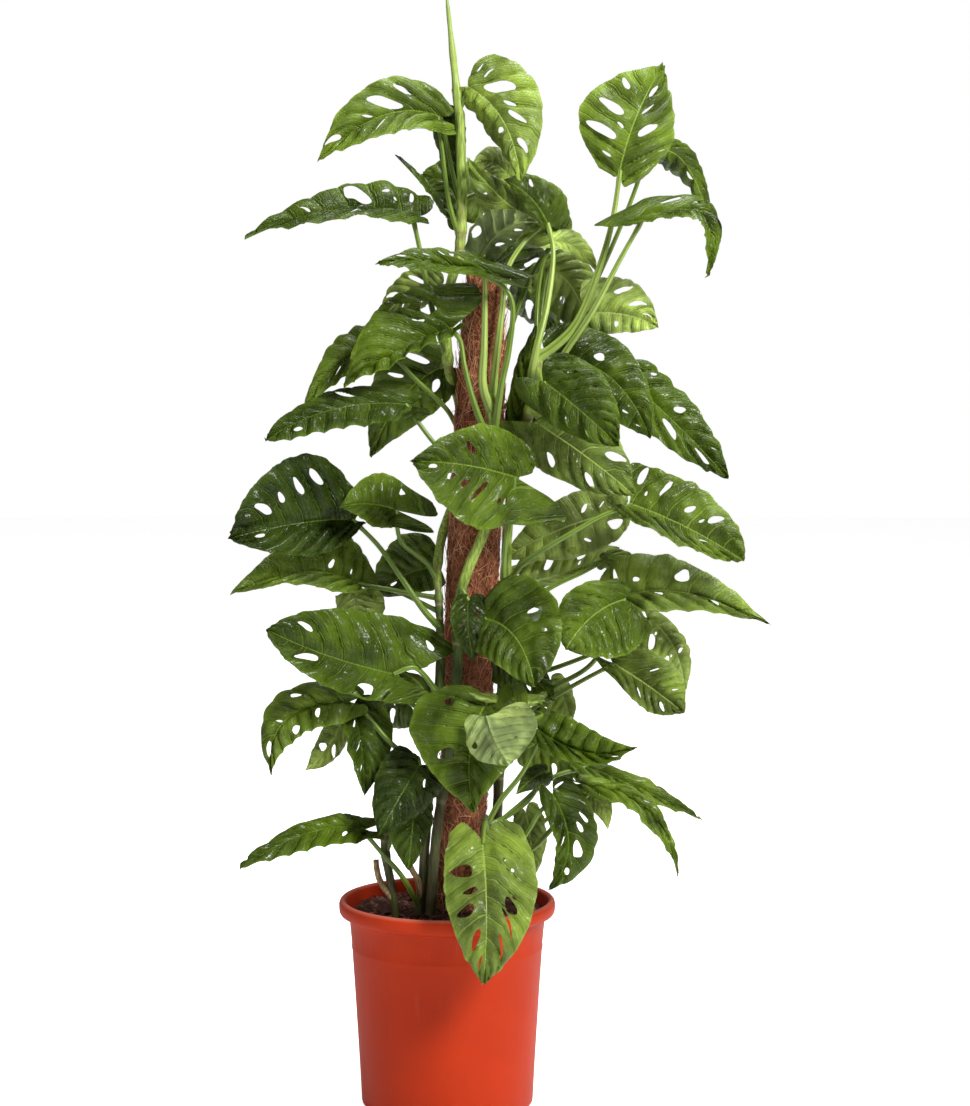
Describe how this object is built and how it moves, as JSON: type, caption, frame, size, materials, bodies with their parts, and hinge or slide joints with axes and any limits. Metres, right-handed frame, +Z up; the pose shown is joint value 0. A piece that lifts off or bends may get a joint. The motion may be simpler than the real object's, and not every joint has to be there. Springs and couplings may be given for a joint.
{
  "type": "potted monstera adansonii",
  "caption": "Climbing house plant with holed, heart-shaped leaves and long leaf stalks on a leaning coir pole, planted in a round plastic nursery pot.",
  "frame": {"origin": "centre of the pot's underside", "axes": "+Z up, -Y towards the plant's broad front, +X towards the side the pole leans to"},
  "size_m": [0.5851, 0.5305, 1.2373],
  "materials": {
    "pot": "satin",
    "soil": "matte",
    "pole": "matte",
    "coir": "matte",
    "stem": "satin",
    "leaf_mature": "satin",
    "leaf_deep": "satin",
    "leaf_bright": "satin",
    "leaf_young": "satin",
    "leaf_pale": "satin"
  },
  "bodies": {
    "root": {"pot": "pot", "pole_core": "pole", "pole_coir": "coir", "leaf_01": "leaf_young", "leaf_02": "leaf_bright", "leaf_03": "leaf_bright", "leaf_04": "leaf_bright", "leaf_05": "leaf_deep", "leaf_06": "leaf_mature", "leaf_10": "leaf_mature", "leaf_11": "leaf_mature", "leaf_13": "leaf_pale", "leaf_15": "leaf_mature", "leaf_16": "leaf_mature", "leaf_17": "leaf_mature", "leaf_18": "leaf_mature", "leaf_19": "leaf_mature", "leaf_20": "leaf_mature", "leaf_21": "leaf_mature", "leaf_22": "leaf_bright", "leaf_23": "leaf_deep", "leaf_26": "leaf_bright", "leaf_27": "leaf_mature", "leaf_29": "leaf_bright", "leaf_31": "leaf_deep", "leaf_32": "leaf_bright", "leaf_34": "leaf_pale", "leaf_35": "leaf_bright", "leaf_36": "leaf_mature", "leaf_37": "leaf_mature", "leaf_38": "leaf_young", "leaf_39": "leaf_mature", "leaf_40": "leaf_mature", "leaf_41": "leaf_pale", "leaf_43": "leaf_mature", "leaf_44": "leaf_bright", "leaf_45": "leaf_bright", "leaf_46": "leaf_mature", "leaf_47": "leaf_bright", "leaf_48": "leaf_bright", "leaf_49": "leaf_young", "leaf_51": "leaf_deep", "leaf_52": "leaf_bright", "leaf_53": "leaf_bright", "leaf_55": "leaf_mature", "leaf_57": "leaf_pale", "leaf_58": "leaf_mature", "leaf_59": "leaf_mature", "leaf_60": "leaf_mature", "leaf_61": "leaf_mature", "leaf_62": "leaf_mature", "vine_a": "stem", "vine_b": "stem", "vine_c": "stem", "vine_d": "stem", "vine_e": "stem", "vine_f": "stem", "soil": "soil"}
  },
  "joints": []
}
